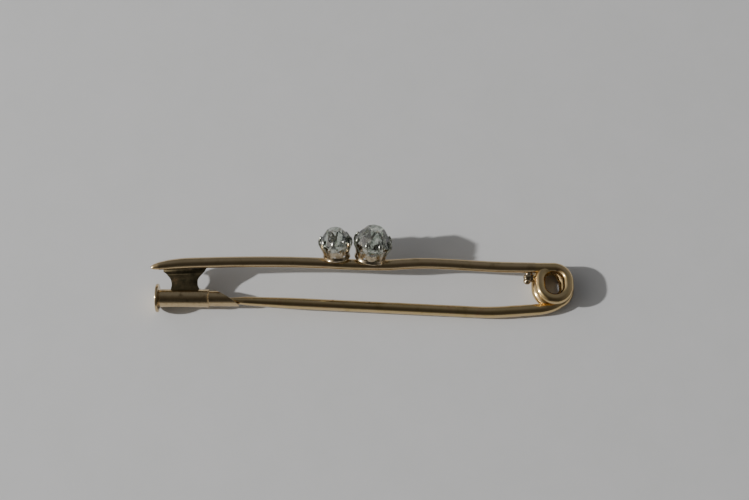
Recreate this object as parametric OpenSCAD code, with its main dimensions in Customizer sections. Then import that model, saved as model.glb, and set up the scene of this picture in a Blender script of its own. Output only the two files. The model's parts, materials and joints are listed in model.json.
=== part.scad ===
// Antique safety-pin bar brooch, lying on its side as it rests on a table.
// A gold wire bar carries two old-cut diamonds in pierced coronet collets. The bar ends
// in a loop, and the pin's ring lies under that loop. The stem comes back beside the bar,
// and its point is held in a sliding barrel catch on a waisted catch plate.
//
// Everything is drawn in the frame of the spring: the origin is below the centre of the
// bar's loop at the height of the pin's ring, the brooch runs along -X from it, and Z is
// the direction of the spring's axis. lying() sets the brooch down on the disc of the
// catch and the pin's ring. Millimetres.

/* [Wire] */
// Diameter of the wire of the spring and of the bar's loop
wire_d = 1.10; // [1.0:0.02:1.12]
// Diameter of the bar before its back is filed flat
bar_d = 1.20; // [1.1:0.02:1.22]
// How much is filed flat off the back of the bar
bar_flat = 0.10; // [0.06:0.02:0.2]
// Distance from the spring's axis to the pointed end of the bar
bar_reach = 41.7; // [41.2:0.1:42.4]

/* [Spring] */
// Centre-line radius of the pin's ring
coil_r = 1.67; // [1.6:0.01:1.7]
// How much longer than wide the pin's ring is
ring_stretch = 0.46; // [0.4:0.01:0.5]
// Height of the bar's loop above the pin's ring
coil_pitch = 1.18; // [1.16:0.01:1.3]
// Centre-line radius of the loop that the bar ends in
loop_r = 1.47; // [1.43:0.01:1.5]
// How much longer than wide that loop is
loop_stretch = 0.52; // [0.4:0.02:0.54]

/* [Pin] */
// Diameter of the stem beside the spring
pin_root_d = 1.18; // [1.14:0.02:1.2]
// Diameter of the stem beside the catch
pin_tip_d = 0.90; // [0.7:0.02:0.92]
// Distance from the spring's axis to the point of the pin
pin_reach = 35.3; // [34.5:0.1:35.4]
// How much the stem closes on the bar towards the catch, in degrees
pin_yaw = 2.53; // [2.5:0.01:2.56]

/* [Catch] */
// Outside diameter of the fixed barrel
barrel_d = 1.86; // [1.82:0.02:2]
// Length of the fixed barrel
barrel_len = 5.1; // [4.8:0.1:5.2]
// Outside diameter of the sliding tube
slide_d = 1.64; // [1.62:0.02:1.66]
// Bore of the sliding tube
slide_bore = 1.44; // [1.42:0.01:1.45]
// How far the sliding tube stands out of the barrel when the catch is shut
slide_out = 3.1; // [2.8:0.1:3.2]
// Diameter of the disc that the slide is drawn by
disc_d = 2.96; // [2.6:0.02:3.4]
// Thickness of the disc at its rim
disc_t = 0.30; // [0.25:0.01:0.5]
// Thickness of the catch plate
plate_t = 0.46; // [0.3:0.02:0.6]

/* [Stones] */
// Girdle diameter of the large diamond
large_d = 3.78; // [3.6:0.02:3.86]
// Girdle diameter of the small diamond
small_d = 3.18; // [3:0.02:3.26]
// Distance from the spring's axis to the large diamond
large_x = 18.80; // [18:0.1:19.5]
// Distance between the two diamonds
stone_step = 3.88; // [3.88:0.01:4.2]
// Height of the large girdle above the middle of the bar
large_rise = 2.45; // [2.4:0.01:2.6]
// Height of the small girdle above the middle of the bar
small_rise = 2.30; // [2.25:0.01:2.4]
// How far the settings stand behind the middle of the bar
stone_back = 0.25; // [0.2:0.01:0.3]

// How steeply the large setting stands up from the table, in degrees
large_tilt = 51; // [40:1:65]
// How steeply the small setting stands up from the table, in degrees
small_tilt = 47; // [40:1:65]

/* [Resting] */
// How far the bar's side of the brooch leans down, in degrees
lean = 1.80; // [0:0.01:4]

/* [Hidden] */
$fn = 72;
hair = 0.02;
wire_r = wire_d / 2;
bar_r = bar_d / 2;
bar_z = coil_pitch;
loop_top = loop_r + loop_stretch / 2;
// Every straight length runs this far into the bends at its ends, and is that bit thinner
sunk = 0.05;
thinner = 0.01;

// The bar's line: distance from the spring's axis, sideways place, height above the loop
BAR_LINE = [
    [bar_reach, 1.22, 0.55], [40.6, 1.42, 0.55], [38.5, 1.68, 0.53], [36.0, 1.81, 0.50],
    [32.4, 1.94, 0.46], [28.0, 1.99, 0.42], [24.5, 1.92, 0.40], [21.0, 1.78, 0.38],
    [17.5, 1.75, 0.36], [15.5, 1.89, 0.34], [13.5, 1.985, 0.31], [11.0, 1.935, 0.26],
    [8.0, 1.80, 0.17], [5.6, 1.73, 0.08], [3.6, 1.73, 0.02], [2.6, loop_top, 0],
    [1.90, loop_top, 0]
];
function along_bar(d, k) = lookup(d, [for (p = BAR_LINE) [p[0], p[k]]]);
// The taper of the bar's end: distance from the very end, and share of the full section
TIP_TAPER = [[0, 0.12], [0.1, 0.32], [0.3, 0.48], [0.8, 0.70], [1.8, 0.90], [3.2, 1]];
bar_steps = 4;
bar_sides = 20;

// The middle of the pin's ring, and the lumps beside it: place and radius
spring_at = [-0.01, 0.10];
STOP = [[-2.76, 0.74, 0.80, 0.40], [-2.42, 0.60, 0.84, 0.29], [-2.88, 0.40, 0.62, 0.26]];

// The stem leaves the ring, and two bends with a straight stretch between them bring it
// into line. A slope is how far it still points away from the bar, in degrees.
leave_slope = 30;
leave_len = 0.25;
bend_r = 5.8;
side_slope = 4.5;
side_len = 3.4;
long_bend_r = 22;
function ahead(p, slope, len) = p - len * [cos(slope), sin(slope)];
function bend_middle(p, slope, r) = p + r * [-sin(slope), cos(slope)];
function bend_end(p, from, to, r) = p + r * [sin(to) - sin(from), cos(from) - cos(to)];
leave_at = [
    spring_at.x + coil_r * sin(leave_slope),
    spring_at.y - ring_stretch / 2 - coil_r * cos(leave_slope)
];
bend_at = ahead(leave_at, leave_slope, leave_len);
side_at = bend_end(bend_at, leave_slope, side_slope, bend_r);
long_bend_at = ahead(side_at, side_slope, side_len);
stem_at = bend_end(long_bend_at, side_slope, -pin_yaw, long_bend_r);
stem_len = (pin_reach + stem_at.x) / cos(pin_yaw);
point_len = 3.4;
even_len = 4.5;
neck_len = 4.6;
neck_r = 0.57;

// The barrel and the slide share one axis
catch_y = -1.45;
barrel_x = -40.78;
barrel_bore = slide_d + 2 * hair;
slide_mouth = barrel_x + barrel_len + slide_out;
slide_back = barrel_x - 0.10;
disc_bevel = 0.06;
scarf_angle = 38;

// The catch plate stands on the barrel and reaches the flat back of the bar
plate_tilt = atan2(bar_z + along_bar(38.3, 2), along_bar(38.3, 1) - catch_y);
plate_foot = barrel_d / 2 - 0.06;
plate_ends = [-40.40, -36.00];
plate_waist = [-39.55, -36.90];
plate_nips = [[0.33, 2.50], [0.15, 2.83]];
waist_cut = [[1.50, 1.40], [1.60, 1.64]];

claws = 8;
wall = 0.17;
crown_slope = 2.35;

// Which way the claws face, and how far the two stones lean apart, in degrees
large_turn = 22.5;
small_turn = 38;
large_splay = 9;
small_splay = -4.5;

// At rest the disc and the pin's ring both touch the table, which gives the pitch
disc_x = slide_back - disc_bevel;
function coil_drop(s, d) = coil_r * norm([s, d]) + ring_stretch / 2 * abs(d) + wire_r
    + spring_at.x * s + spring_at.y * d;
function rest_pitch(s = 0, n = 12) = n == 0 ? asin(s) : let (c = sqrt(1 - s * s), d = sin(lean) * c)
    rest_pitch((disc_d / 2 * c + catch_y * d - coil_drop(s, d)) / -disc_x, n - 1);
pitch = rest_pitch();
lift = coil_drop(sin(pitch), sin(lean) * cos(pitch));
middle = [19.728, -0.973];

module lying() {
    translate([middle.x, middle.y, lift]) rotate([-lean, pitch, 0]) children();
}

// Lays a shape that is drawn along Z onto the X axis, pointing to -X
module along_x() {
    rotate([0, -90, 0]) children();
}

// Puts a shape on the bar, with Z standing up from the table by an angle
module on_bar(x, tilt) {
    translate([-x, along_bar(x, 1) + stone_back, bar_z + along_bar(x, 2)])
        rotate([tilt - 90, 0, 0]) children();
}

// Points on a smooth curve through the rows of a table
function smooth(a, b, c, d, t) = b + 0.5 * t * (c - a + t * (2 * a - 5 * b + 4 * c - d
    + t * (3 * (b - c) + d - a)));
function row(rows, i) = rows[min(max(i, 0), len(rows) - 1)];
function path(rows) = [
    for (i = [0:len(rows) - 2]) for (k = [0:bar_steps - 1])
        smooth(row(rows, i - 1), rows[i], rows[i + 1], row(rows, i + 2), k / bar_steps),
    rows[len(rows) - 1]
];

// One closed skin over rings of points
module skin(rings) {
    n = len(rings[0]);
    last = len(rings) - 1;
    sides = [
        for (i = [0:last - 1]) for (k = [0:n - 1]) let (j = (k + 1) % n)
            each [
                [i * n + k, (i + 1) * n + k, i * n + j],
                [i * n + j, (i + 1) * n + k, (i + 1) * n + j]
            ]
    ];
    polyhedron([for (r = rings) each r],
        concat([[for (k = [0:n - 1]) k]], sides, [[for (k = [n - 1:-1:0]) last * n + k]]), 4);
}

// The bar: round wire with a flat back, drawn to a point beyond the catch plate
function bar_ring(p, q) = let (
        size = lookup(bar_reach - p[0], TIP_TAPER),
        front = [0, cos(plate_tilt), sin(plate_tilt)],
        across = cross([q[0], q[1], 0], front),
        side = across / norm(across)
    )
    [
        for (k = [0:bar_sides - 1]) let (a = 360 * k / bar_sides)
            [-p[0], p[1], bar_z + p[2]] + size * (bar_r * cos(a) * side
                + max(bar_r * sin(a), bar_flat - bar_r) * front)
    ];

module bar() {
    line = path(BAR_LINE);
    color("goldenrod") lying()
        skin([for (i = [0:len(line) - 1])
            bar_ring(line[i], [row(line, i - 1)[0] - row(line, i + 1)[0],
                row(line, i + 1)[1] - row(line, i - 1)[1]])]);
}

// Wire bent round the Z axis from one angle to another
module bent_wire(from, to, bend = coil_r, wire = wire_r) {
    rotate([0, 0, from]) rotate_extrude(angle = to - from) translate([bend, 0]) circle(wire);
}

// A straight length of wire between two bends, drawn from its first end towards -X
module straight_wire(len, r1 = wire_r, r2 = wire_r) {
    translate([sunk, 0, 0]) along_x() cylinder(h = len + 2 * sunk, r1 = r1 - thinner, r2 = r2 - thinner);
}

// The loop that the bar ends in, with the straight end that meets the bar
module bar_loop() {
    color("goldenrod") lying() translate([0, 0, bar_z]) {
        translate([0, loop_stretch / 2, 0]) bent_wire(0, 180, loop_r);
        translate([0, -loop_stretch / 2, 0]) bent_wire(180, 360, loop_r);
        for (s = [-1, 1])
            translate([s * loop_r, loop_stretch / 2, 0]) rotate([0, 0, 90]) straight_wire(loop_stretch);
        translate([0, loop_top, 0]) straight_wire(1.90 - hair - sunk);
    }
}

// The small lumps of metal under the bar that the spring bears on
module spring_stop() {
    color("darkgoldenrod") lying()
        for (lump = STOP) translate([lump[0], lump[1], lump[2]]) sphere(lump[3]);
}

// Wire that comes in at a place with one slope and leaves it with another
module bend(at, from, to, r, wire) {
    middle_at = bend_middle(at, from, r);
    translate([middle_at.x, middle_at.y, 0]) bent_wire(270 + to, 270 + from, r, wire);
}

// The pin: its ring, the stem and the point
module pin() {
    root_r = pin_root_d / 2;
    tip_r = pin_tip_d / 2;
    body_len = stem_len - even_len - neck_len - point_len;
    color("gold") lying() {
        translate([spring_at.x, spring_at.y, 0]) {
            translate([0, ring_stretch / 2, 0]) bent_wire(0, 180);
            translate([0, -ring_stretch / 2, 0]) bent_wire(180, 360);
            for (s = [-1, 1])
                translate([s * coil_r, ring_stretch / 2, 0]) rotate([0, 0, 90]) straight_wire(ring_stretch);
        }
        translate([leave_at.x, leave_at.y, 0]) rotate([0, 0, leave_slope])
            straight_wire(leave_len, wire_r, root_r);
        bend(bend_at, leave_slope, side_slope, bend_r, root_r);
        translate([side_at.x, side_at.y, 0]) rotate([0, 0, side_slope])
            straight_wire(side_len, root_r, root_r);
        bend(long_bend_at, side_slope, -pin_yaw, long_bend_r, root_r);
        translate([stem_at.x, stem_at.y, 0]) rotate([0, 0, -pin_yaw]) {
            straight_wire(body_len, root_r, neck_r);
            translate([-body_len, 0, 0]) along_x() {
                cylinder(h = even_len, r = neck_r);
                translate([0, 0, even_len - sunk])
                    cylinder(h = neck_len + sunk, r1 = neck_r - thinner, r2 = tip_r);
                translate([0, 0, even_len + neck_len - sunk])
                    cylinder(h = point_len + sunk, r1 = tip_r - thinner, r2 = 0.05);
            }
        }
    }
}

// Height of the plate's top edge above the barrel's axis, at a distance from the spring
function plate_top(d) = norm([along_bar(d, 1) - catch_y, bar_z + along_bar(d, 2)])
    - bar_r + bar_flat - hair;

module plate_outline() {
    difference() {
        polygon([
            [plate_ends[0] + plate_nips[0][0], plate_foot], [plate_ends[1] - plate_nips[1][0], plate_foot],
            [plate_ends[1] - plate_nips[1][0], plate_nips[1][1]], [plate_ends[1], plate_nips[1][1] + 0.2],
            [plate_ends[1], plate_top(-plate_ends[1])], [-38.3, plate_top(38.3)],
            [plate_ends[0], plate_top(-plate_ends[0])],
            [plate_ends[0], plate_nips[0][1] + 0.25], [plate_ends[0] + plate_nips[0][0], plate_nips[0][1]]
        ]);
        for (s = [0, 1])
            translate([plate_waist[s] + (2 * s - 1) * waist_cut[s][0], waist_cut[s][1]])
                circle(waist_cut[s][0]);
    }
}

// The catch plate with the barrel that is soldered to its foot
module catch_plate() {
    color("darkgoldenrod") lying() translate([0, catch_y, 0]) difference() {
        union() {
            rotate([plate_tilt, 0, 0]) linear_extrude(plate_t, center = true) plate_outline();
            translate([barrel_x + barrel_len, 0, 0]) along_x() {
                cylinder(h = barrel_len, d = barrel_d);
                cylinder(h = 0.12, d = barrel_d + 0.06);
            }
        }
        translate([barrel_x + barrel_len + 1, 0, 0]) along_x()
            cylinder(h = barrel_len + 2, d = barrel_bore);
    }
}

// The sliding tube, cut to a scarf at its mouth, with the disc that it is drawn by
module catch_slide() {
    rim = disc_d / 2;
    color("gold") lying() translate([0, catch_y, 0]) difference() {
        union() {
            translate([slide_mouth, 0, 0]) along_x() cylinder(h = slide_mouth - slide_back, d = slide_d);
            translate([slide_back, 0, 0]) along_x() rotate_extrude() polygon([
                [0, 0], [rim - disc_bevel, 0], [rim, disc_bevel], [rim, disc_t - disc_bevel],
                [rim - disc_bevel, disc_t],
                [0.62, disc_t], [0.50, disc_t + 0.12], [0, disc_t + 0.12]
            ]);
        }
        translate([slide_mouth + 1, 0, 0]) along_x()
            cylinder(h = slide_mouth + 1 - slide_back - 0.2, d = slide_bore);
        translate([slide_mouth, -slide_d / 2, -2]) rotate([0, 0, 90 - scarf_angle])
            translate([0, -1, 0]) cube([4, 6, 4]);
    }
}

// A pierced coronet collet: a conical wall, scalloped between its claws and open under them
module collet(girdle_r, rise, base_r, base_z, turn) {
    top_r = girdle_r + wall;
    band = base_z + 0.52;
    lip = 0.24;
    on_top = rise + 0.06;
    difference() {
        rotate_extrude() polygon([
            [base_r - 0.24, base_z], [base_r, base_z], [base_r + 0.03, band],
            [top_r, rise - 0.35], [top_r, on_top + 0.06],
            [girdle_r - lip + 0.06, on_top + lip * crown_slope + 0.17],
            [girdle_r - lip, on_top + lip * crown_slope + hair],
            [girdle_r + hair, on_top + hair], [girdle_r + hair, rise - 0.15], [base_r - 0.24, band]
        ]);
        for (k = [0:claws - 1]) {
            rotate([0, 0, turn + 360 * (k + 0.5) / claws]) rotate([90, 0, 0])
                linear_extrude(girdle_r + 1) scallop(girdle_r, rise, band + 0.28);
            rotate([0, 0, turn + 360 * k / claws]) rotate([90, 0, 0])
                linear_extrude(girdle_r + 1) window(base_r, rise, band);
        }
    }
}

// The space between two claws: wide at the girdle, and down to a rounded foot
module scallop(girdle_r, rise, foot) {
    half = PI * girdle_r / claws - 0.20;
    polygon([
        [-0.10, foot], [0.10, foot], [0.22, foot + 0.12], [half, rise - 0.25], [half, rise + 2],
        [-half, rise + 2], [-half, rise - 0.25], [-0.22, foot + 0.12]
    ]);
}

// The opening at the root of a claw
module window(base_r, rise, band) {
    half = PI * base_r / claws - 0.17;
    polygon([
        [-half, band + 0.04], [half, band + 0.04], [half * 0.72, band + 0.28], [0, rise - 0.95],
        [-half * 0.72, band + 0.28]
    ]);
}

// An old-cut diamond: table, star, kite and upper girdle facets over the girdle, and
// lower girdle and main facets down to a small culet. The girdle is at height zero.
module old_cut(r, table_r, crown_h, pavilion_h, culet_r) {
    girdle_h = 0.05;
    star_r = r * 0.80;
    star_h = crown_h * 0.56;
    lower_r = r * 0.42;
    lower_h = pavilion_h * (r - lower_r * cos(22.5)) / (r - culet_r);
    function ring(n, radius, h, turn = 0) = [
        for (k = [0:n - 1]) let (a = turn + 360 * k / n) [radius * cos(a), radius * sin(a), h]
    ];
    points = concat(
        ring(8, table_r, girdle_h + crown_h), ring(8, star_r, girdle_h + star_h, 22.5),
        ring(16, r, girdle_h), ring(16, r, 0),
        ring(8, lower_r, -lower_h, 22.5), ring(8, culet_r, -pavilion_h)
    );
    star = 8;
    upper = 16;
    lower = 32;
    deep = 48;
    culet = 56;
    facets = [
        for (k = [0:7])
            let (n = (k + 1) % 8, p = (k + 7) % 8, g = 2 * k, h = g + 1, i = (g + 2) % 16)
                each [
                    [k, n, star + k],
                    [k, star + k, star + p],
                    [star + k, upper + g, star + p],
                    [star + k, upper + h, upper + g],
                    [star + k, upper + i, upper + h],
                    [upper + g, upper + h, lower + h, lower + g],
                    [upper + h, upper + i, lower + i, lower + h],
                    [deep + k, lower + g, lower + h],
                    [deep + k, lower + h, lower + i],
                    [culet + k, deep + p, lower + g, deep + k],
                    [culet + k, deep + k, culet + n]
                ]
    ];
    polyhedron(points,
        concat([[for (k = [7:-1:0]) k]], facets, [[for (k = [0:7]) culet + k]]), 4);
}

// Leans a shape over about the middle of its girdle
module splayed(rise, angle) {
    translate([0, 0, rise]) rotate([0, angle, 0]) translate([0, 0, -rise]) children();
}

// Leaves room for the bar in a collet
module over_bar(x) {
    difference() {
        children();
        translate([-x, along_bar(x, 1), bar_z + along_bar(x, 2)])
            along_x() cylinder(h = 9, r = bar_r + 0.06, center = true);
    }
}

large_r = large_d / 2;
small_r = small_d / 2;

module collet_large() {
    color("silver") lying() over_bar(large_x) on_bar(large_x, large_tilt)
        splayed(large_rise, large_splay) collet(large_r, large_rise, 1.58, 0.50, large_turn);
}
module collet_small() {
    color("silver") lying() over_bar(large_x + stone_step) on_bar(large_x + stone_step, small_tilt)
        splayed(small_rise, small_splay) collet(small_r, small_rise, 1.36, 0.48, small_turn);
}
module diamond_large() {
    color("white") lying() on_bar(large_x, large_tilt) splayed(large_rise, large_splay)
        translate([0, 0, large_rise]) rotate([0, 0, 10])
            old_cut(large_r, large_r * 0.48, 1.50, 1.55, 0.16);
}
module diamond_small() {
    color("white") lying() on_bar(large_x + stone_step, small_tilt) splayed(small_rise, small_splay)
        translate([0, 0, small_rise]) rotate([0, 0, 33])
            old_cut(small_r, small_r * 0.48, 1.26, 1.32, 0.13);
}

bar();
bar_loop();
spring_stop();
pin();
catch_plate();
catch_slide();
collet_large();
collet_small();
diamond_large();
diamond_small();
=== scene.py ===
import json
import math
import random

import bmesh
import bpy
from mathutils import Matrix, Vector, noise


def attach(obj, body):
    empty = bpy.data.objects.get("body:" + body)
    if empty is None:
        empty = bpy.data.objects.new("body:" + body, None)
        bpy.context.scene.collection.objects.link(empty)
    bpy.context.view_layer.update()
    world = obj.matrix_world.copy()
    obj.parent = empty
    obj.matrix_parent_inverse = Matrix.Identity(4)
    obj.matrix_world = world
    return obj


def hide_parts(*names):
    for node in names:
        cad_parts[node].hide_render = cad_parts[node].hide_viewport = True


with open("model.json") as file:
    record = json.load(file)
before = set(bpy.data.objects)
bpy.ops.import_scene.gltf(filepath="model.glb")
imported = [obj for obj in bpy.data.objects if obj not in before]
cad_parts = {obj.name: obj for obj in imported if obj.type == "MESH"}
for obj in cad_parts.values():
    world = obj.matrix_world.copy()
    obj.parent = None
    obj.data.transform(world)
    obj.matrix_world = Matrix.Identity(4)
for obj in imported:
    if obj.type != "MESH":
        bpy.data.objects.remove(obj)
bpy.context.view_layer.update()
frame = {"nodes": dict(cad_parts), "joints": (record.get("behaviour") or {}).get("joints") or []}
MM = 0.001
rng = random.Random(4)

# The spring's frame, from the joints: X towards the right of the picture, Z along the
# spring's axis. All sizes below are millimetres in that frame.
joints = {j["name"]: j for j in frame["joints"]}
spring_z = Vector(joints["pin_swing"]["axis"]).normalized()
spring_x = -Vector(joints["slide_draw"]["axis"]).normalized()
spring_y = spring_z.cross(spring_x).normalized()
RING_AT = Vector((-0.01, 0.10, 0.0))
turn = Matrix((spring_x, spring_y, spring_z)).transposed()
origin = Vector(joints["pin_swing"]["pos_m"]) - turn @ (RING_AT * MM)
LYING = Matrix.Translation(origin) @ turn.to_4x4() @ Matrix.Scale(MM, 4)

# Sizes and lines, as in the solids. Only the slant of the tube's mouth is longer here.
WIRE_R, BAR_R, BAR_FLAT = 0.55, 0.60, 0.10
BAR_Z, LOOP_R, LOOP_HALF = 1.18, 1.47, 0.26
LOOP_TOP = LOOP_R + LOOP_HALF
BAR_LINE = [
    (41.7, 1.22, 0.55), (40.6, 1.42, 0.55), (38.5, 1.68, 0.53), (36.0, 1.81, 0.50),
    (32.4, 1.94, 0.46), (28.0, 1.99, 0.42), (24.5, 1.92, 0.40), (21.0, 1.78, 0.38),
    (17.5, 1.75, 0.36), (15.5, 1.89, 0.34), (13.5, 1.985, 0.31), (11.0, 1.935, 0.26),
    (8.0, 1.80, 0.17), (5.6, 1.73, 0.08), (3.6, 1.73, 0.02), (2.6, LOOP_TOP, 0), (1.9, LOOP_TOP, 0),
]
BAR_REACH = BAR_LINE[0][0]
TIP_TAPER = [(0, 0.12), (0.1, 0.32), (0.3, 0.48), (0.8, 0.70), (1.8, 0.90), (3.2, 1.0)]
RING_R, RING_HALF = 1.67, 0.23
LEAVE_SLOPE, LEAVE_LEN, BEND_R = 30, 0.25, 5.8
SIDE_SLOPE, SIDE_LEN, LONG_BEND_R = 4.5, 3.4, 22
PIN_YAW, PIN_REACH = 2.53, 35.3
ROOT_R, NECK_R, TIP_R, POINT_R = 0.59, 0.57, 0.45, 0.05
EVEN_LEN, NECK_LEN, POINT_LEN = 4.5, 4.6, 3.4
CATCH_Y, BARREL_X, BARREL_LEN = -1.45, -40.78, 5.1
BARREL_R, BORE_R = 0.93, 0.84
PLATE_LEFT, PLATE_RIGHT, PLATE_T, PLATE_GAP = -40.40, -36.00, 0.46, 0.02
PLATE_TILT_AT = 38.3
TUBE_R, TUBE_BORE_R, TUBE_OUT, TUBE_SLANT = 0.82, 0.72, 3.1, 1.6
DISC_R, DISC_T, DISC_GAP = 1.48, 0.30, 0.10
LARGE_X, STONE_STEP, STONE_BACK = 18.80, 3.88, 0.25
CLAWS, CLAW_T = 8, 0.15

# How finely round forms are divided, and the angle from which an edge shows as an edge
WIRE_SIDES, PIN_SIDES, TUBE_SIDES = 48, 44, 96
SHARP, PLATE_SHARP = math.radians(28), math.radians(50)
UP = Vector((0, 0, 1))


def lookup(x, table):
    """Straight-line value of a table of pairs, in rising order of the first"""
    if x <= table[0][0]:
        return table[0][1]
    for (x0, y0), (x1, y1) in zip(table, table[1:]):
        if x <= x1:
            return y0 + (y1 - y0) * (x - x0) / (x1 - x0)
    return table[-1][1]


def along_bar(d, k):
    """Place of the bar's middle across (k = 1) or up (k = 2), at a distance from the spring"""
    return lookup(d, [(p[0], p[k]) for p in reversed(BAR_LINE)])


PLATE_TILT = math.atan2(BAR_Z + along_bar(PLATE_TILT_AT, 2), along_bar(PLATE_TILT_AT, 1) - CATCH_Y)


class Nodes:
    """Makes and links the shader nodes of one material"""

    def __init__(self, name):
        self.material = bpy.data.materials.new(name)
        self.material.use_nodes = True
        self.tree = self.material.node_tree
        self.bsdf = self.tree.nodes["Principled BSDF"]

    def link(self, a, b):
        self.tree.links.new(a, b)

    def place(self, stretch=None):
        """The point on the object, with its axes stretched where a pattern is drawn out"""
        out = self.tree.nodes.new("ShaderNodeTexCoord").outputs["Object"]
        if stretch is None:
            return out
        mapping = self.tree.nodes.new("ShaderNodeMapping")
        mapping.inputs["Scale"].default_value = stretch
        self.link(out, mapping.inputs["Vector"])
        return mapping.outputs["Vector"]

    def noise(self, scale, detail=4.0, rough=0.55, stretch=None):
        node = self.tree.nodes.new("ShaderNodeTexNoise")
        node.inputs["Scale"].default_value = scale
        node.inputs["Detail"].default_value = detail
        node.inputs["Roughness"].default_value = rough
        self.link(self.place(stretch), node.inputs["Vector"])
        return node.outputs["Fac"]

    def ramp(self, fac, stops):
        """Colour by value, from stops of (value, colour)"""
        node = self.tree.nodes.new("ShaderNodeValToRGB")
        while len(node.color_ramp.elements) < len(stops):
            node.color_ramp.elements.new(0.5)
        for element, (at, colour) in zip(node.color_ramp.elements, stops):
            element.position = at
            element.color = (*colour, 1)
        self.link(fac, node.inputs["Fac"])
        return node.outputs["Color"]

    def span(self, fac, low, high):
        """Spreads the usual values of a noise over a range"""
        node = self.tree.nodes.new("ShaderNodeMapRange")
        node.inputs["From Min"].default_value = 0.3
        node.inputs["From Max"].default_value = 0.7
        node.inputs["To Min"].default_value = low
        node.inputs["To Max"].default_value = high
        self.link(fac, node.inputs["Value"])
        return node.outputs["Result"]

    def bump(self, height, strength, distance, below=None):
        """Normal of a rough surface, on top of another one where that is given"""
        node = self.tree.nodes.new("ShaderNodeBump")
        node.inputs["Strength"].default_value = strength
        node.inputs["Distance"].default_value = distance
        self.link(height, node.inputs["Height"])
        if below is not None:
            self.link(below, node.inputs["Normal"])
        return node.outputs["Normal"]


def metal(name, tones, rough, marks, dents, patch=900):
    """Polished metal: patchy colour, drawn-out polishing marks and faint dents"""
    dent_depth, mark_depth = 6e-5, 4e-6
    n = Nodes(name)
    n.bsdf.inputs["Metallic"].default_value = 1.0
    stops = [(0.28 + 0.44 * k / (len(tones) - 1), tone) for k, tone in enumerate(tones)]
    n.link(n.ramp(n.noise(patch, 6, 0.62), stops), n.bsdf.inputs["Base Color"])
    n.link(n.span(n.noise(1300, 5, 0.6, (0.25, 1, 1)), *rough), n.bsdf.inputs["Roughness"])
    low = n.bump(n.noise(420, 3, 0.5, (0.5, 1, 1)), dents, dent_depth)
    n.link(n.bump(n.noise(5200, 3, 0.6, (0.12, 1, 1)), marks, mark_depth, low), n.bsdf.inputs["Normal"])
    return n.material


wire_gold = metal(
    "wire_gold", [(0.46, 0.34, 0.18), (0.64, 0.485, 0.275), (0.67, 0.51, 0.30), (0.62, 0.43, 0.26)],
    rough=(0.10, 0.19), marks=0.35, dents=0.10)
ring_gold = metal(
    "ring_gold", [(0.48, 0.34, 0.14), (0.66, 0.50, 0.25), (0.69, 0.52, 0.28), (0.66, 0.43, 0.22)],
    rough=(0.09, 0.17), marks=0.30, dents=0.12)
tube_gold = metal(
    "tube_gold", [(0.34, 0.25, 0.13), (0.62, 0.47, 0.27), (0.66, 0.51, 0.30), (0.52, 0.36, 0.20)],
    rough=(0.12, 0.24), marks=0.45, dents=0.20, patch=1500)
base_gold = metal(
    "base_gold", [(0.09, 0.065, 0.04), (0.40, 0.32, 0.21), (0.62, 0.53, 0.39), (0.26, 0.18, 0.12)],
    rough=(0.12, 0.26), marks=0.6, dents=0.4, patch=1800)
# The catch plate's gold is painted very dark, as painted shade and a painted dark reflection
plate_painted_shade = metal(
    "plate_painted_shade", [(0.035, 0.032, 0.022), (0.085, 0.072, 0.042), (0.13, 0.105, 0.06), (0.27, 0.17, 0.09)],
    rough=(0.30, 0.55), marks=0.8, dents=0.5, patch=1400)
silver = metal(
    "silver", [(0.10, 0.10, 0.08), (0.36, 0.37, 0.32), (0.66, 0.67, 0.60), (0.50, 0.48, 0.39)],
    rough=(0.14, 0.32), marks=0.7, dents=0.5, patch=2600)

# The stones: clear, with a greyish green tint and darker patches painted in as dark reflections
n = Nodes("diamond")
tints = [(0.40, (0.20, 0.25, 0.20)), (0.49, (0.50, 0.57, 0.49)),
         (0.59, (0.84, 0.88, 0.80)), (0.68, (1.0, 1.0, 0.98))]
n.link(n.ramp(n.noise(1300, 2, 0.5), tints), n.bsdf.inputs["Base Color"])
n.link(n.span(n.noise(2500, 3), 0.0, 0.03), n.bsdf.inputs["Roughness"])
n.link(n.bump(n.noise(1100, 2, 0.5), 0.6, 4e-5), n.bsdf.inputs["Normal"])
n.bsdf.inputs["IOR"].default_value = 2.3
n.bsdf.inputs["Transmission Weight"].default_value = 1.0
diamond = n.material


def piece(name, bm, materials, body, nodes, sharp=SHARP):
    """Turns a mesh in the spring's frame into a piece that rides on a body"""
    bm.transform(LYING)
    bmesh.ops.recalc_face_normals(bm, faces=bm.faces)
    for face in bm.faces:
        face.smooth = True
    for edge in bm.edges:
        if len(edge.link_faces) == 2 and edge.calc_face_angle(0) > sharp:
            edge.smooth = False
    mesh = bpy.data.meshes.new(name)
    bm.to_mesh(mesh)
    bm.free()
    for material in materials:
        mesh.materials.append(material)
    obj = bpy.data.objects.new(name, mesh)
    bpy.context.scene.collection.objects.link(obj)
    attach(obj, body)
    for node in nodes:
        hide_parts(node)
    return obj


def skin(bm, rings, closed=False, caps=True, material=0):
    """Quads between rings of points, which all have as many points"""
    rows = [[bm.verts.new(p) for p in ring] for ring in rings]
    count = len(rows[0])
    pairs = list(zip(rows, rows[1:])) + ([(rows[-1], rows[0])] if closed else [])
    for a, b in pairs:
        for k in range(count):
            j = (k + 1) % count
            bm.faces.new((a[k], b[k], b[j], a[j])).material_index = material
    if caps and not closed:
        bm.faces.new(rows[0]).material_index = material
        bm.faces.new(list(reversed(rows[-1]))).material_index = material
    return rows


def spline(points, steps):
    """Smooth curve through points"""
    out = []
    for i in range(len(points) - 1):
        a, b = Vector(points[max(i - 1, 0)]), Vector(points[i])
        c, d = Vector(points[i + 1]), Vector(points[min(i + 2, len(points) - 1)])
        for k in range(steps):
            t = k / steps
            out.append(b + 0.5 * t * (c - a + t * (2 * a - 5 * b + 4 * c - d + t * (3 * (b - c) + d - a))))
    out.append(Vector(points[-1]))
    return out


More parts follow.
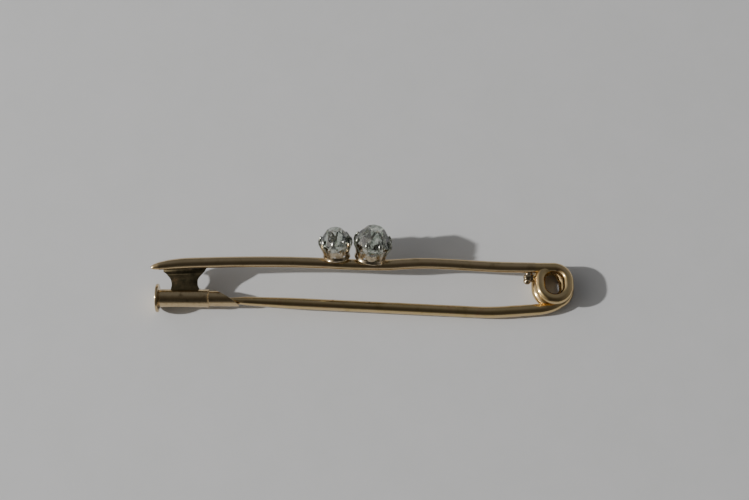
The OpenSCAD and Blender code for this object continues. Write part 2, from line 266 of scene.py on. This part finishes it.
def tube_rings(line, radius, sides, up=UP, shape=None):
    """Rings of a swept wire: radius(i) is its size, shape(angle) its section"""
    rings = []
    for i, p in enumerate(line):
        ahead = (line[min(i + 1, len(line) - 1)] - line[max(i - 1, 0)]).normalized()
        side = ahead.cross(up).normalized()
        top = side.cross(ahead).normalized()
        ring = []
        for k in range(sides):
            a = 2 * math.pi * k / sides
            x, y = shape(a) if shape else (math.cos(a), math.sin(a))
            ring.append(p + radius(i) * (x * side + y * top))
        rings.append(ring)
    return rings


def arc(centre, radius, start, end, steps):
    """Points on an arc about Z, between two angles in degrees"""
    out = []
    for k in range(steps + 1):
        a = math.radians(start + (end - start) * k / steps)
        out.append(Vector((centre[0] + radius * math.cos(a), centre[1] + radius * math.sin(a), centre[2])))
    return out


def bar_wire():
    """The bar, from its pointed end, and the loop that it ends in"""
    bm = bmesh.new()
    front = Vector((0, math.cos(PLATE_TILT), math.sin(PLATE_TILT)))
    flat = (BAR_FLAT - BAR_R) / BAR_R
    line = [Vector((-p.x, p.y, BAR_Z + p.z)) for p in spline(BAR_LINE, 9)]

    def size(i):
        d = BAR_REACH + line[i].x
        wobble = 1 + 0.010 * noise.noise(Vector((line[i].x * 0.35, 0, 5)))
        return BAR_R * lookup(d, TIP_TAPER) * wobble * lookup(-line[i].x, [(1.9, 0.955), (4.5, 1)])

    def section(a):
        return math.cos(a), max(math.sin(a), flat)

    skin(bm, tube_rings(line, size, WIRE_SIDES, front, section))
    # The loop, whose end sinks a little where it is soldered to the bar
    loop = [Vector((-1.95, LOOP_TOP, BAR_Z)), Vector((-1.0, LOOP_TOP, BAR_Z))]
    loop += arc((0, LOOP_HALF, BAR_Z), LOOP_R, 90, 0, 26)
    loop += arc((0, -LOOP_HALF, BAR_Z), LOOP_R, 0, -180, 52)
    end_steps = 18
    for k, p in enumerate(arc((0, LOOP_HALF, BAR_Z), LOOP_R, 180, 112, end_steps)):
        loop.append(p - 0.10 * (k / end_steps) ** 1.6 * UP)
    skin(bm, tube_rings(loop, lambda i: WIRE_R, WIRE_SIDES), material=1)
    return piece("bar_wire", bm, [wire_gold, ring_gold], "brooch", ["bar", "bar_loop"])


def course(slope):
    """Direction of the pin's wire at a slope in degrees"""
    return Vector((-math.cos(math.radians(slope)), -math.sin(math.radians(slope)), 0))


def bend(at, first, last, radius, steps):
    """Points on a bend between two slopes, after the point where it starts"""
    sin_first, cos_first = math.sin(math.radians(first)), math.cos(math.radians(first))
    out = []
    for k in range(1, steps + 1):
        slope = math.radians(first + (last - first) * k / steps)
        out.append(at + radius * Vector((math.sin(slope) - sin_first, cos_first - math.cos(slope), 0)))
    return out


def pin_wire():
    """The pin's closed ring, and the wire that leaves it for the catch"""
    bm = bmesh.new()
    cx, cy = RING_AT.x, RING_AT.y
    low, high = (cx, cy - RING_HALF, 0), (cx, cy + RING_HALF, 0)
    ring = arc(high, RING_R, 0, 180, 60) + arc(low, RING_R, 180, 360, 60)
    rows = []
    for i, p in enumerate(ring):
        ahead = (ring[(i + 1) % len(ring)] - ring[i - 1]).normalized()
        side = ahead.cross(UP).normalized()
        # The wire is broader on its inner side at the right
        broader = 0.46 * max(0.0, min(1.0, (p.x - cx) / RING_R * 1.6 - 0.3)) ** 0.8
        row = []
        for k in range(PIN_SIDES):
            a = 2 * math.pi * k / PIN_SIDES
            across, up = math.cos(a), math.sin(a)
            row.append(p + (WIRE_R + (broader if across < 0 else 0)) * across * side + WIRE_R * up * UP)
        rows.append(row)
    skin(bm, rows, closed=True)

    leave = math.radians(LEAVE_SLOPE)
    start = Vector((cx + RING_R * math.sin(leave), low[1] - RING_R * math.cos(leave), 0))
    line = [start + course(LEAVE_SLOPE) * s for s in (0, 0.12, LEAVE_LEN)]
    line += bend(line[-1], LEAVE_SLOPE, SIDE_SLOPE, BEND_R, 20)
    line += [line[-1] + course(SIDE_SLOPE) * SIDE_LEN * k / 8 for k in range(1, 9)]
    line += bend(line[-1], SIDE_SLOPE, -PIN_YAW, LONG_BEND_R, 12)
    stem = line[-1].copy()
    length = (PIN_REACH + stem.x) / math.cos(math.radians(PIN_YAW))
    steps = 130
    line += [stem + course(-PIN_YAW) * length * k / steps for k in range(1, steps + 1)]
    places = [0.0]
    for a, b in zip(line, line[1:]):
        places.append(places[-1] + (b - a).length)
    end = places[-1]
    even = end - POINT_LEN - NECK_LEN - EVEN_LEN
    radii = [(0, WIRE_R - 0.02), (0.8, ROOT_R), (end - length, ROOT_R), (even, NECK_R),
             (even + EVEN_LEN, NECK_R), (end - POINT_LEN, TIP_R), (end, POINT_R)]
    knot_at, knot_len = 5.3, 0.45

    def size(i):
        s = places[i]
        wobble = 1 + 0.016 * noise.noise(Vector((s * 0.5, 7, 1)))
        wobble += 0.008 * noise.noise(Vector((s * 2.1, 2, 9)))
        knot = 1 + 0.035 * math.exp(-((s - knot_at) / knot_len) ** 2)
        return lookup(s, radii) * (wobble * knot if s < even else 1)

    skin(bm, tube_rings(line, size, PIN_SIDES))
    # Specks of solder on the stem's upper, far side: place along it and radius
    for x, r in ((-22.9, 0.075), (-19.15, 0.07), (-14.1, 0.05)):
        y = stem.y - (x - stem.x) * math.tan(math.radians(PIN_YAW))
        at = Matrix.Translation((x, y + 0.38, 0.42)) @ Matrix.Diagonal((r * 1.4, r, r, 1))
        bmesh.ops.create_icosphere(bm, subdivisions=2, radius=1, matrix=at)
    return piece("pin_wire", bm, [ring_gold], "pin", ["pin"])


def lathe(bm, profile, place):
    """Turns a closed profile of (radius, height) about Z"""
    rings = []
    for k in range(TUBE_SIDES):
        a = 2 * math.pi * k / TUBE_SIDES
        rings.append([place @ Vector((r * math.cos(a), r * math.sin(a), h)) for r, h in profile])
    skin(bm, rings, closed=True)


ALONG_X = Matrix.Rotation(math.radians(-90), 4, "Y")


def barrel():
    """The catch's fixed barrel, a tube with a low band at its mouth"""
    bm = bmesh.new()
    place = Matrix.Translation((BARREL_X + BARREL_LEN, CATCH_Y, 0)) @ ALONG_X
    b, c, end = BORE_R, BARREL_R, BARREL_LEN
    lathe(bm, [
        (b, 0.03), (b + 0.03, 0), (c, 0), (c + 0.03, 0.03), (c + 0.03, 0.11), (c, 0.14), (c, 0.18), (c, 0.4),
        (c, end - 0.4), (c, end - 0.10), (c, end - 0.04), (c - 0.03, end), (b + 0.02, end), (b, end - 0.03),
        (b, end - 0.3), (b, 0.3),
    ], place)
    return piece("barrel", bm, [tube_gold], "brooch", ["catch_plate"])


def slide():
    """The disc with a low boss on it, and the tube that it draws, cut off at a slant at its mouth"""
    bm = bmesh.new()
    back = BARREL_X - DISC_GAP
    place = Matrix.Translation((back, CATCH_Y, 0)) @ ALONG_X
    lathe(bm, [
        (0.001, 0), (DISC_R - 0.07, 0), (DISC_R - 0.02, 0.02), (DISC_R, 0.07), (DISC_R, DISC_T - 0.08),
        (DISC_R - 0.03, DISC_T - 0.02), (DISC_R - 0.10, DISC_T), (1.12, DISC_T), (1.06, DISC_T - 0.05),
        (0.66, DISC_T - 0.05), (0.60, DISC_T + 0.02), (0.54, DISC_T + 0.10), (0.40, DISC_T + 0.13),
        (0.001, DISC_T + 0.13),
    ], place)
    mouth = BARREL_X + BARREL_LEN + TUBE_OUT
    corners = [(TUBE_BORE_R, "back"), (TUBE_R, "back"), (TUBE_R, "mouth"),
               (TUBE_R - 0.02, "lip"), (TUBE_BORE_R + 0.02, "lip"), (TUBE_BORE_R, "mouth")]
    rings = []
    for k in range(TUBE_SIDES):
        a = 2 * math.pi * k / TUBE_SIDES
        ring = []
        for r, at in corners:
            y, z = r * math.cos(a), r * math.sin(a)
            cut = mouth - (y + TUBE_R) * TUBE_SLANT
            x = {"back": back + 0.01, "mouth": cut - 0.03, "lip": cut}[at]
            ring.append(Vector((x, CATCH_Y + y, z)))
        rings.append(ring)
    skin(bm, rings, closed=True)
    return piece("slide_tube", bm, [tube_gold], "slide", ["catch_slide"])


def plate():
    """The waisted catch plate, from the barrel up to the bar"""
    bm = bmesh.new()
    foot = BARREL_R - 0.06
    left, right = PLATE_LEFT, PLATE_RIGHT

    def top(x):
        """Height of the plate's upper edge, just clear of the bar's flat back"""
        taper = lookup(BAR_REACH + x, TIP_TAPER)
        reach = math.hypot(along_bar(-x, 1) - CATCH_Y, BAR_Z + along_bar(-x, 2))
        return reach - (BAR_R - BAR_FLAT) * taper - PLATE_GAP

    # Each side's outline: height above the barrel's axis, and distance in from that end
    lefts = [(foot - 0.04, 0.73), (foot + 0.12, 0.76), (foot + 0.3, 0.81), (1.35, 0.84), (1.6, 0.83),
             (1.9, 0.76), (2.15, 0.62), (2.36, 0.43), (2.50, 0.33), (2.60, 0.19), (2.70, 0.05), (2.76, 0),
             (top(left), 0)]
    rights = [(foot - 0.04, 0.68), (foot + 0.10, 0.74), (foot + 0.3, 0.82), (1.35, 0.88), (1.64, 0.90),
              (1.95, 0.86), (2.22, 0.70), (2.50, 0.44), (2.70, 0.26), (2.83, 0.15), (2.94, 0.10),
              (3.03, 0.02), (top(right), 0)]
    outline = spline([(left + x, h, 0) for h, x in lefts], 4)
    outline += spline([(right - x, h, 0) for h, x in reversed(rights)], 4)
    place = Matrix.Translation((0, CATCH_Y, 0)) @ Matrix.Rotation(PLATE_TILT, 4, "X")
    middle, half_len = (left + right) / 2, (right - left) / 2
    # Layers through its thickness, drawn in along the rounded edges
    half, edge = PLATE_T / 2, 0.05
    insets = [(-half, edge), (-half + edge * 0.6, 0.012), (-half + edge * 1.4, 0),
              (half - edge * 1.4, 0), (half - edge * 0.6, 0.012), (half, edge)]
    layers = [[place @ Vector((p.x - (p.x - middle) / half_len * inset, p.y, z)) for p in outline]
              for z, inset in insets]
    rows = skin(bm, layers, caps=False)
    # Both faces as strips from the left edge to the right edge
    count = len(outline)
    for row in (rows[0], rows[-1]):
        for k in range(count // 2 - 1):
            bm.faces.new((row[k], row[k + 1], row[count - 2 - k], row[count - 1 - k]))
    return piece("plate", bm, [plate_painted_shade], "brooch", ["catch_plate"], PLATE_SHARP)


def stop_lump():
    """Lumps of solder run together, under the bar beside the spring"""
    bm = bmesh.new()
    lumps = [((-2.62, 0.78, 0.80), (0.52, 0.46, 0.44)), ((-2.26, 0.66, 0.86), (0.38, 0.37, 0.33)),
             ((-2.74, 0.42, 0.64), (0.38, 0.33, 0.31)), ((-2.54, 1.10, 0.96), (0.40, 0.26, 0.32))]
    for at, size in lumps:
        place = Matrix.Translation(at) @ Matrix.Diagonal((*size, 1))
        made = bmesh.ops.create_icosphere(bm, subdivisions=4, radius=1, matrix=place)
        for v in made["verts"]:
            v.co += (v.co - Vector(at)) * 0.16 * noise.noise(v.co * 3.1)
    return piece("stop_lump", bm, [base_gold], "brooch", ["spring_stop"])


def setting(name, node, x, tilt, rise, girdle_r, base_r, base_z, turn_deg, splay):
    """A coronet collet: a base ring, a zigzag wall cut into claws, and beads over the stone"""
    bm = bmesh.new()
    at = Matrix.Translation((-x, along_bar(x, 1) + STONE_BACK, BAR_Z + along_bar(x, 2)))
    lean = Matrix.Rotation(math.radians(tilt - 90), 4, "X")
    spread = (Matrix.Translation(rise * UP) @ Matrix.Rotation(math.radians(splay), 4, "Y")
              @ Matrix.Translation(-rise * UP))
    place = at @ lean @ spread
    band = base_z + 0.40
    lathe(bm, [
        (base_r - 0.20, base_z + 0.02), (base_r - 0.02, base_z), (base_r + 0.07, base_z + 0.05),
        (base_r + 0.09, base_z + 0.14), (base_r + 0.04, base_z + 0.24), (base_r + 0.02, band),
        (base_r - 0.16, band), (base_r - 0.20, band - 0.04),
    ], place)
    step = 360 / CLAWS
    # The wall's top edge and its openings: angle from a claw's middle, share of the full height
    shape = [(0.0, 1.0), (3.0, 1.0), (5.2, 0.97), (6.6, 0.82), (8.0, 0.64), (10.0, 0.48), (12.5, 0.32),
             (15.5, 0.17), (18.5, 0.05), (22.5, 0.0)]
    foot = [(0.0, 1.0), (3.0, 0.90), (6.0, 0.66), (9.0, 0.42), (12.0, 0.20), (15.0, 0.04), (18.0, 0.0),
            (22.5, 0.0)]
    angles = sorted({s * a for a, _ in shape + foot for s in (-1, 1)})[:-1]
    peak, valley, arch = rise + 0.20, band + 0.62, rise - 1.20

    def wall_r(h):
        """The wall's outer radius at a height, flared towards the stone"""
        t = max(0.0, min(1.0, (h - band) / (rise - 0.25 - band)))
        return base_r + (girdle_r + 0.18 - base_r) * (0.62 * t + 0.38 * t * t)

    rings = []
    for c in range(CLAWS):
        for a in angles:
            angle = math.radians(turn_deg + c * step + a)
            high = valley + (peak - valley) * lookup(abs(a), shape)
            low = min(band - 0.03 + (arch - band) * lookup(abs(a), foot), high - 0.16)
            levels = [low + (high - low) * t for t in (0.2, 0.4, 0.6, 0.8)]
            outside = [(low, 0.03), (low + 0.03, 0)] + [(h, 0) for h in levels]
            outside += [(high - 0.03, 0), (high, 0.03)]
            inside = [(h, CLAW_T - d) for h, d in reversed(outside)]
            section = []
            for h, d in outside + inside:
                r = wall_r(h) - d
                section.append(place @ Vector((r * math.cos(angle), r * math.sin(angle), h)))
            rings.append(section)
    # Gold below and silver above
    back = place.inverted()
    for face in {f for row in skin(bm, rings, closed=True) for v in row for f in v.link_faces}:
        face.material_index = 1 if (back @ face.calc_center_median()).z > valley + 0.12 else 0
    # The beads that the claws end in, lying on the crown's slope
    for c in range(CLAWS):
        angle = math.radians(turn_deg + c * step)
        grow = 1 + 0.18 * (rng.random() - 0.5)
        spot = (Matrix.Rotation(angle, 4, "Z") @ Matrix.Translation((girdle_r - 0.02, 0, rise + 0.30))
                @ Matrix.Rotation(math.radians(-24), 4, "Y"))
        squash = Matrix.Diagonal((0.15 * grow, 0.22 * grow, 0.36 * grow, 1))
        made = bmesh.ops.create_uvsphere(
            bm, u_segments=20, v_segments=12, radius=1, matrix=place @ spot @ squash)
        for face in {f for v in made["verts"] for f in v.link_faces}:
            face.material_index = 1
    return piece(name, bm, [base_gold, silver], "brooch", [node])


bar_wire()
pin_wire()
barrel()
slide()
plate()
stop_lump()
setting("coronet_large", "collet_large", LARGE_X, tilt=51, rise=2.45, girdle_r=1.89,
        base_r=1.56, base_z=0.50, turn_deg=22.5, splay=9)
setting("coronet_small", "collet_small", LARGE_X + STONE_STEP, tilt=47, rise=2.30, girdle_r=1.59,
        base_r=1.34, base_z=0.48, turn_deg=38, splay=-4.5)

for node in ("diamond_large", "diamond_small"):
    slots = frame["nodes"][node].data.materials
    slots.clear()
    slots.append(diamond)

# The floor: a sheet of pale paper
bpy.ops.mesh.primitive_grid_add(x_subdivisions=4, y_subdivisions=4, size=1.2, location=(0, 0, -2e-5))
floor = bpy.context.object
floor.name = "floor"
n = Nodes("floor_paper")
tints = [(0.3, (0.705, 0.713, 0.718)), (0.5, (0.72, 0.727, 0.735)), (0.7, (0.735, 0.738, 0.75))]
n.link(n.ramp(n.noise(160, 6, 0.7), tints), n.bsdf.inputs["Base Color"])
n.bsdf.inputs["Roughness"].default_value = 0.85
n.bsdf.inputs["Specular IOR Level"].default_value = 0.2
n.link(n.bump(n.noise(1500, 4), 0.12, 5e-5), n.bsdf.inputs["Normal"])
floor.data.materials.append(n.material)

# The room: dark towards the viewer, a dim sky on the far side, a broad glow on the left
KEY_DIRECTION, KEY_DISTANCE = Vector((-1.72, -0.17, 1.0)).normalized(), 0.9
world = bpy.data.worlds.new("studio")
bpy.context.scene.world = world
world.use_nodes = True
tree = world.node_tree
background = tree.nodes["Background"]
coords = tree.nodes.new("ShaderNodeTexCoord")


def lobe(direction, stops):
    """Light that depends on how near a direction is to a given one"""
    dot = tree.nodes.new("ShaderNodeVectorMath")
    dot.operation = "DOT_PRODUCT"
    dot.inputs[1].default_value = Vector(direction).normalized()
    tree.links.new(coords.outputs["Generated"], dot.inputs[0])
    span = tree.nodes.new("ShaderNodeMapRange")
    span.inputs["From Min"].default_value = -1.0
    tree.links.new(dot.outputs["Value"], span.inputs["Value"])
    ramp = tree.nodes.new("ShaderNodeValToRGB")
    while len(ramp.color_ramp.elements) < len(stops):
        ramp.color_ramp.elements.new(0.5)
    for element, (at, level, tint) in zip(ramp.color_ramp.elements, stops):
        element.position = (at + 1) / 2
        element.color = (level * tint[0], level * tint[1], level * tint[2], 1)
    tree.links.new(span.outputs["Result"], ramp.inputs["Fac"])
    return ramp.outputs["Color"]


COOL, PLAIN, WARM = (0.96, 1.0, 1.08), (1, 1, 1), (1.05, 1.0, 0.92)
lobes = [
    lobe((0, 1, 0), [(-1, 0.26, PLAIN), (-0.975, 0.22, PLAIN), (-0.93, 0.05, PLAIN), (-0.65, 0.03, WARM),
                     (-0.3, 0.05, WARM), (0.05, 0.09, PLAIN), (0.35, 0.15, COOL), (1, 0.17, COOL)]),
    lobe((-1, 0, 0), [(-1, 0.12, PLAIN), (-0.4, 0.02, PLAIN), (0.30, 0.0, PLAIN), (0.5, 0.16, WARM),
                      (0.8, 0.45, WARM), (1, 0.6, WARM)]),
    lobe(KEY_DIRECTION, [(0.86, 0.0, PLAIN), (0.94, 0.35, WARM), (0.985, 0.9, WARM)]),
]
total = lobes[0]
for extra in lobes[1:]:
    add = tree.nodes.new("ShaderNodeMix")
    add.data_type = "RGBA"
    add.blend_type = "ADD"
    add.inputs["Factor"].default_value = 1.0
    tree.links.new(total, add.inputs["A"])
    tree.links.new(extra, add.inputs["B"])
    total = add.outputs["Result"]
tree.links.new(total, background.inputs["Color"])
background.inputs["Strength"].default_value = 1.0

# The key light, a small disc low on the left
light = bpy.data.lights.new("key", "AREA")
light.shape = "DISK"
light.size = 0.032
light.energy = 7.6
light.color = (1.0, 0.992, 0.98)
key = bpy.data.objects.new("key", light)
key.location = KEY_DIRECTION * KEY_DISTANCE
key.rotation_euler = (-KEY_DIRECTION).to_track_quat("-Z", "Y").to_euler()
bpy.context.scene.collection.objects.link(key)

# The camera, from the front and well above
TARGET = Vector((1.14, 3.53, 0)) * MM
ELEVATION, DISTANCE = math.radians(68), 0.1484
FOCAL_PX, IMAGE_WIDTH_PX, SENSOR_MM = 1400, 749, 36
camera = bpy.data.cameras.new("camera")
camera.lens = FOCAL_PX / IMAGE_WIDTH_PX * SENSOR_MM
camera.clip_start = 0.005
camera.clip_end = 10
eye = bpy.data.objects.new("camera", camera)
eye.location = TARGET + DISTANCE * Vector((0, -math.cos(ELEVATION), math.sin(ELEVATION)))
eye.rotation_euler = (TARGET - eye.location).to_track_quat("-Z", "Y").to_euler()
bpy.context.scene.collection.objects.link(eye)
bpy.context.scene.camera = eye
